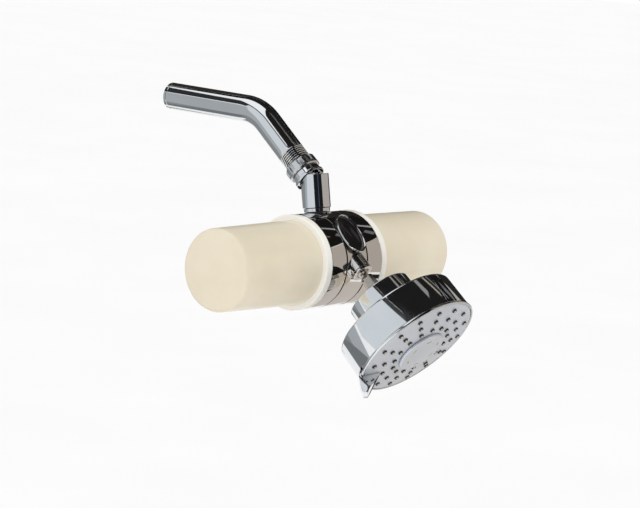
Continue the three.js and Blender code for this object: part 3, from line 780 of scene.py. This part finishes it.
def ball_stud():
    """The ball with its bore, a short neck, and a six-sided stem that flares into a round shank."""
    low, high, _ = extent("ball_stud", HEAD_FRAME)
    circles = [(STUD_BORE, high), (STUD_BORE, low)]
    for k in range(25):
        angle = math.radians(BALL_FROM - (BALL_FROM - BALL_TO) * k / 24)
        circles.append((BALL_RADIUS * math.sin(angle), BALL_RADIUS * math.cos(angle)))
    circles += [(3.0, 5.6), (3.2, 6.2)]
    rows = [level(HEAD_FRAME, oval(radius, radius, STUD_SIDES), height) for radius, height in circles]
    for share in [0, 0.03] + [k / 10 for k in range(1, 11)]:
        radius = HEX_THIN + (HEX_WIDE - HEX_THIN) * share
        height = HEX_START + (HEX_END - HEX_START) * share
        scale = 0.93 if share == 0 else 1
        rows.append(level(HEAD_FRAME, [(x * scale, y * scale) for x, y in hexagon(radius)], height))
    for height in (HEX_END, high):
        rows.append(level(HEAD_FRAME, oval(SHANK_RADIUS, SHANK_RADIUS, STUD_SIDES), height))
    bm = bmesh.new()
    grid(bm, rows, joined_rows=True)
    return wear(finish_mesh("ball_stud_stem", bm, STEM_NICKEL), "head", "chrome", "ball_stud")


def head_collar():
    low, high, radius = extent("head_collar", HEAD_FRAME)
    piece = turned_piece("head_collar_cup", [
        [6.1, low],
        [radius, low, 0.7],
        [radius, 46.4, 0.5],
        [23, 46.4],
        [23, high],
        [20.4, high],
        [20.4, low + 2.6],
        [10, low + 2.6],
        [10, 38.5],
        [8, 38.5],
        [8, 35.6],
        [6.1, 35.6],
    ], HEAD_FRAME, CHROME, HEAD_SIDES)
    return wear(piece, "head", "plated", "head_collar")


SHELL_FRONT = 75.1
SLOT_DEPTH = 2.4
SLOT_FROM = math.radians(-158)
SLOT_TO = math.radians(-94)
LEVER_AT = math.radians(-139)


def sector(inner, outer, start, end, steps=24):
    angles = [start + (end - start) * i / steps for i in range(steps + 1)]
    there = [(inner * math.cos(a), inner * math.sin(a)) for a in angles]
    back = [(outer * math.cos(a), outer * math.sin(a)) for a in reversed(angles)]
    return there + back


def head_shell():
    low, _, radius = extent("head_shell", HEAD_FRAME)
    piece = turned_piece("head_shell_cup", [
        [23.3, low],
        [49.9, low, 1.6],
        [radius - 0.05, SHELL_FRONT, 0.35],
        [47.5, SHELL_FRONT],
        [47.5, low + 2.5],
        [23.3, low + 2.5],
    ], HEAD_FRAME, CHROME, HEAD_SIDES)
    bm = bmesh.new()
    outline = sector(44, 56, SLOT_FROM, SLOT_TO)
    rows = [level(HEAD_FRAME, outline, z) for z in (SHELL_FRONT - SLOT_DEPTH, SHELL_FRONT + 3)]
    grid(bm, rows, joined_rows=False)
    bmesh.ops.contextual_create(bm, geom=[edge for edge in bm.edges if edge.is_boundary])
    bmesh.ops.holes_fill(bm, edges=[edge for edge in bm.edges if edge.is_boundary])
    cut(piece, bm)
    return wear(piece, "head", "plated", "head_shell")


FACE_RADIUS = 51.2
FACE_RIM = 76.7
FACE_DOME = 5.2
PLATE_RIM = FACE_RADIUS - 2
NOZZLE_RINGS = (25, 34, 42.6)
NOZZLE_ROWS = 15
NOZZLE_PHASE = math.radians(11)
HOLE_RADIUS = 1.95
LEVER_GAP = 0.3
SCREW_HOLE, SCREW_SEAT_RADIUS, SCREW_SEAT = 1.6, 3.6, 73.95


def face_height(radius):
    return FACE_RIM + FACE_DOME * (1 - (radius / FACE_RADIUS) ** 2)


def nozzle_places():
    for row in range(NOZZLE_ROWS):
        angle = NOZZLE_PHASE + row / NOZZLE_ROWS * TAU
        away = abs((angle - LEVER_AT + math.pi) % TAU - math.pi)
        for ring in NOZZLE_RINGS:
            if ring < 38 or away > math.radians(11):
                yield ring * math.cos(angle), ring * math.sin(angle), ring


def dome(start, end, offset, steps=14):
    for k in range(steps + 1):
        radius = start + (end - start) * k / steps
        yield (radius, face_height(radius) + offset)


def lever_room():
    """The space that the lever takes up in the face, with a gap all round."""
    wide, narrow = 6.2 + LEVER_GAP, 5.2 + LEVER_GAP
    outline = [(36 - 2 * LEVER_GAP, 0), (51, -wide), (60, -narrow), (60, narrow), (51, wide)]
    bm = bmesh.new()
    turn = HEAD_FRAME @ Matrix.Rotation(LEVER_AT, 4, "Z")
    prism(bm, outline, 68, 95, turn, Vector((50, 0, 0)))
    return bm


def face_plate():
    rim = face_height(PLATE_RIM)
    outline = [
        (SCREW_SEAT_RADIUS, SCREW_SEAT),
        *dome(SCREW_SEAT_RADIUS, PLATE_RIM - 0.4, -0.02),
        (PLATE_RIM, rim - 0.5),
        (PLATE_RIM, rim - 1.2),
        (47, rim - 1.2),
        (47, 70),
        (45.2, 70),
        *reversed(list(dome(16, 45.2, -2.2, 8))),
        (16, 68),
        (SCREW_HOLE, 68),
        (SCREW_HOLE, SCREW_SEAT),
    ]
    bm = bmesh.new()
    turned(bm, outline, HEAD_FRAME, HEAD_SIDES)
    piece = finish_mesh("face_plate_dome", bm, SATIN)
    bm = bmesh.new()
    for x, y, _ in nozzle_places():
        turned(bm, [(0, 70), (HOLE_RADIUS, 70), (HOLE_RADIUS, 90), (0, 90)],
               HEAD_FRAME @ Matrix.Translation((x, y, 0)), 24)
    cut(piece, bm)
    cut(piece, lever_room())
    soften(piece, 0.12, 2, 50)
    return wear(piece, "spray_face", "satin", "face_plate")


def nozzle_mat():
    bm = bmesh.new()
    turned(bm, [*dome(21, 44.6, -2.7, 8), *reversed(list(dome(21, 44.6, -4.5, 8)))], HEAD_FRAME, 128)
    piece = finish_mesh("nozzle_mat_base", bm, RUBBER)
    cut(piece, lever_room())
    wear(piece, "spray_face", "nozzle_rubber", "nozzle_mat")
    collars, cores = bmesh.new(), bmesh.new()
    for x, y, ring in nozzle_places():
        where = HEAD_FRAME @ Matrix.Translation((x, y, 0))
        top = face_height(ring) + 1.15
        turned(collars, rounded([
            [1.25, top - 4.6], [1.9, top - 4.6], [1.88, top - 1.4],
            [1.7, top - 0.1, 0.3], [1.25, top - 0.1, 0.1],
        ], 3), where, 24)
        turned(cores, rounded([
            [0.32, top - 4.5], [1.2, top - 4.5], [1.18, top, 0.3], [0.36, top, 0.1], [0.32, top - 0.7],
        ], 3), where, 20)
    wear(finish_mesh("nozzle_collars", collars, RUBBER), "spray_face", "rubber")
    return wear(finish_mesh("nozzle_tips", cores, NOZZLE), "spray_face", "nozzle_rubber")


def face_bezel():
    _, high, radius = extent("face_bezel", HEAD_FRAME)
    inner = PLATE_RIM + 0.3
    piece = turned_piece("face_bezel_ring", [
        [inner, 75.4],
        [radius - 0.2, 75.4, 0.2],
        [radius, FACE_RIM, 0.5],
        [radius - 0.6, high - 0.1, 0.5],
        [inner, high - 0.15, 0.2],
    ], HEAD_FRAME, CHROME, HEAD_SIDES)
    cut(piece, lever_room())
    return wear(piece, "spray_face", "plated", "face_bezel")


INSERT_SLOTS = 6
INSERT_PHASE = 0.77
JET_RING = 13.5


def slot_box(bm, radius, half_long, half_wide, low, high, angle):
    middle = HEAD_FRAME @ Matrix.Rotation(angle, 4, "Z") @ Matrix.Translation((radius, 0, 0))
    turn = middle @ Matrix.Rotation(TAU / 4, 4, "Z")
    outline = []
    steps = 10
    for end in (0, 1):
        for k in range(steps + 1):
            a = (k / steps - 0.5) * math.pi + end * math.pi
            centre = (half_long - half_wide) * (1 if end == 0 else -1)
            outline.append((centre + half_wide * math.cos(a), half_wide * math.sin(a)))
    prism(bm, outline, low, high, turn)


def centre_insert():
    _, _, radius = extent("centre_insert", HEAD_FRAME)
    seat = face_height(radius) + 0.3
    outline = [
        *dome(0, radius - 0.6, 0.3, 6),
        (radius - 0.1, seat + 0.2),
        (radius, seat + 0.7),
        (radius - 0.05, seat + 1.2),
        (radius - 0.35, seat + 1.65),
        (radius - 1.0, seat + 2.0),
    ]
    top = seat + 1.6 + 1.5
    for k in range(1, 10):
        share = 1 - k / 10
        r = (radius - 1.0) * share
        outline.append((r, seat + 2.0 + (top - seat - 2.0) * (1 - share ** 2) - 0.02))
    outline.append((0, top - 0.02))
    bm = bmesh.new()
    turned(bm, outline, HEAD_FRAME, 160)
    piece = finish_mesh("centre_insert_dome", bm, SATIN)
    bm = bmesh.new()
    jets = bmesh.new()
    for i in range(INSERT_SLOTS):
        angle = (i + INSERT_PHASE) / INSERT_SLOTS * TAU
        slot_box(bm, JET_RING, 2.3, 0.9, top - 1.6, top + 4, angle)
        slot_box(jets, JET_RING, 2.2, 0.8, top - 1.7, top - 0.85, angle)
    cut(piece, bm)
    wear(finish_mesh("centre_jets", jets, TAN), "spray_face", "nozzle_rubber")
    return wear(piece, "spray_face", "satin", "centre_insert")


def selector_lever():
    """The CAD lever's own faces with softened edges, as it is a faceted wedge on the real thing too."""
    mesh = frame["nodes"]["selector_lever"].data.copy()
    bm = bmesh.new()
    bm.from_mesh(mesh)
    bmesh.ops.remove_doubles(bm, verts=bm.verts, dist=2e-6)
    bmesh.ops.dissolve_limit(bm, angle_limit=math.radians(2), verts=bm.verts, edges=bm.edges)
    mesh.materials.clear()
    piece = finish_mesh("selector_lever_wedge", bm, CHROME)
    soften(piece, 0.45, 4, 25)
    return wear(piece, "spray_face", "plated", "selector_lever")


# ---------------------------------------------------------------- studio

# Radii of the spheres round the ring that the cards lie on. The low ones stay above the floor.
LOW_CARD, HIGH_CARD, STREAK_CARD = 0.72, 1.4, 0.66
LOW_BELOW = -15

# Studio cards on a sphere round the object: azimuth from the front towards +X, elevation, and tone.
CARDS = {
    "front_black": ((-64, 5), (-25, 46), (0.012, 0.013, 0.015)),
    "top_black": ((-86, 180), (46, 90), (0.014, 0.013, 0.013)),
    "right_high_black": ((5, 118), (27, 46), (0.010, 0.009, 0.008)),
    "right_back_dark": ((88, 150), (-8, 27), (0.02, 0.019, 0.018)),
    "back_high_dark": ((118, 180), (20, 46), (0.03, 0.028, 0.026)),
    "back_left_black": ((-180, -128), (27, 46), (0.03, 0.031, 0.033)),
    "right_front_warm": ((5, 88), (-18, 27), (0.47, 0.43, 0.39)),
    "left_light": ((-130, -64), (-14, 40), (0.70, 0.735, 0.76)),
    "left_edge_dark": ((-128, -64), (40, 46), (0.05, 0.052, 0.055)),
    "left_back_grey": ((-152, -130), (-30, 27), (0.42, 0.44, 0.455)),
    "left_low_grey": ((-180, -118), (-62, -30), (0.19, 0.20, 0.205)),
    "back_grey": ((152, 208), (-30, 20), (0.27, 0.28, 0.285)),
    "low_dark_line": ((30, 120), (-26, -21), (0.02, 0.018, 0.016)),
    "low_warm": ((30, 120), (-62, -29), (0.60, 0.56, 0.52)),
}

# Thin strips nearer than the cards, for the streaks in the dark reflections.
STREAKS = {
    "streak_top": ((20, 34), (60, 86), (0.30, 0.29, 0.27)),
    "streak_beige": ((54, 58), (48, 80), (0.42, 0.38, 0.31)),
    "streak_grey": ((64, 66), (40, 70), (0.24, 0.24, 0.23)),
    "streak_right": ((86, 90), (30, 52), (0.34, 0.35, 0.36)),
    "streak_front": ((-30, -26), (-22, 44), (0.09, 0.12, 0.17)),
    "badge_glow": ((72, 78), (31, 38), (0.16, 0.165, 0.17)),
}


def card(name, azimuths, elevations, tone, radius):
    """A curved card of even tone, seen only in reflections."""
    columns, rows = 16, 8
    points = []
    for j in range(rows + 1):
        elevation = math.radians(elevations[0] + (elevations[1] - elevations[0]) * j / rows)
        for i in range(columns + 1):
            azimuth = math.radians(azimuths[0] + (azimuths[1] - azimuths[0]) * i / columns)
            out = Vector((math.sin(azimuth), -math.cos(azimuth), 0)) * math.cos(elevation)
            points.append(RING + (out + Vector((0, 0, math.sin(elevation)))) * radius)
    faces = []
    for j in range(rows):
        for i in range(columns):
            k = j * (columns + 1) + i
            faces.append((k, k + 1, k + columns + 2, k + columns + 1))
    mesh = bpy.data.meshes.new(name)
    mesh.from_pydata([tuple(point) for point in points], [], faces)
    made = bpy.data.objects.new(name, mesh)
    bpy.context.scene.collection.objects.link(made)
    look, _, shader = material(name, (0, 0, 0), roughness=1)
    shader.inputs["Specular IOR Level"].default_value = 0
    shader.inputs["Emission Color"].default_value = (*tone, 1)
    shader.inputs["Emission Strength"].default_value = 1
    mesh.materials.append(look)
    made.visible_camera = False
    made.visible_shadow = False
    made.visible_diffuse = False


FLOOR_DROP = 0.6


def floor():
    size = 14.0
    height = CAD_BOX[0][2] - FLOOR_DROP
    mesh = bpy.data.meshes.new("studio_floor")
    corners = [(-size, -size, height), (size, -size, height), (size, size, height), (-size, size, height)]
    mesh.from_pydata(corners, [], [(0, 1, 2, 3)])
    made = bpy.data.objects.new("studio_floor", mesh)
    bpy.context.scene.collection.objects.link(made)
    look, tree, shader = material("floor_paper", (0.96, 0.96, 0.96), roughness=0.9)
    vary_color(tree, shader, noise(tree, 3), (0.955, 0.955, 0.955), (0.975, 0.975, 0.975))
    mesh.materials.append(look)


def area_light(name, position, target, size, power, color=(1, 1, 1)):
    data = bpy.data.lights.new(name, "AREA")
    data.shape = "RECTANGLE"
    data.size, data.size_y = size
    data.energy = power
    data.color = color
    made = bpy.data.objects.new(name, data)
    made.location = position
    made.rotation_euler = (Vector(target) - Vector(position)).to_track_quat("-Z", "Y").to_euler()
    bpy.context.scene.collection.objects.link(made)
    return made


def studio():
    floor()
    world = bpy.data.worlds.new("studio")
    bpy.context.scene.world = world
    world.use_nodes = True
    sky = world.node_tree.nodes["Background"]
    sky.inputs["Color"].default_value = (1, 1, 1, 1)
    sky.inputs["Strength"].default_value = 1.0
    area_light("key", (-1.6, -1.2, 1.5), RING, (1.0, 1.0), 5)
    bpy.context.scene.view_settings.view_transform = "Standard"
    for name, (azimuths, elevations, tone) in CARDS.items():
        card(name, azimuths, elevations, tone, LOW_CARD if elevations[0] < LOW_BELOW else HIGH_CARD)
    for name, (azimuths, elevations, tone) in STREAKS.items():
        card(name, azimuths, elevations, tone, STREAK_CARD)


CAMERA_ANGLES = (-51.74, 8.55, 4.89)
CAMERA_DISTANCE = 2.285
CAMERA_SLIDE, CAMERA_LIFT = -0.00028, 0.00441
CAMERA_LENS = 164.96


def camera():
    """Seen from the front left and a little above, slightly rolled, through a long lens."""
    azimuth, elevation, roll = (math.radians(angle) for angle in CAMERA_ANGLES)
    across = math.cos(elevation)
    back = Vector((math.sin(azimuth) * across, -math.cos(azimuth) * across, math.sin(elevation)))
    right = (-back).cross(Vector((0, 0, 1))).normalized()
    up = right.cross(-back)
    turned_right = right * math.cos(roll) + up * math.sin(roll)
    turned_up = up * math.cos(roll) - right * math.sin(roll)
    aim = RING + turned_right * CAMERA_SLIDE + turned_up * CAMERA_LIFT
    data = bpy.data.cameras.new("camera")
    data.lens = CAMERA_LENS
    data.sensor_width = 36
    data.clip_end = 50
    made = bpy.data.objects.new("camera", data)
    turn = Matrix((turned_right, turned_up, back)).transposed().to_4x4()
    made.matrix_world = Matrix.Translation(aim + back * CAMERA_DISTANCE) @ turn
    bpy.context.scene.collection.objects.link(made)
    bpy.context.scene.camera = made


# ---------------------------------------------------------------- assembly

for entry in frame["record"]["subparts"]:
    node = frame["nodes"][entry["node"]]
    node.data.materials.clear()
    node.data.materials.append(SLOT_MATERIALS[entry["material_slot"]])

camera()
shower_arm()
coupling_nut()
swivel_stud()
connector()
ring_body()
medallion()
cap("left", LEFT_FRAME)
cap("right", RIGHT_FRAME)
outlet_collar()
ball_stud()
head_collar()
head_shell()
face_plate()
nozzle_mat()
face_bezel()
centre_insert()
selector_lever()
studio()
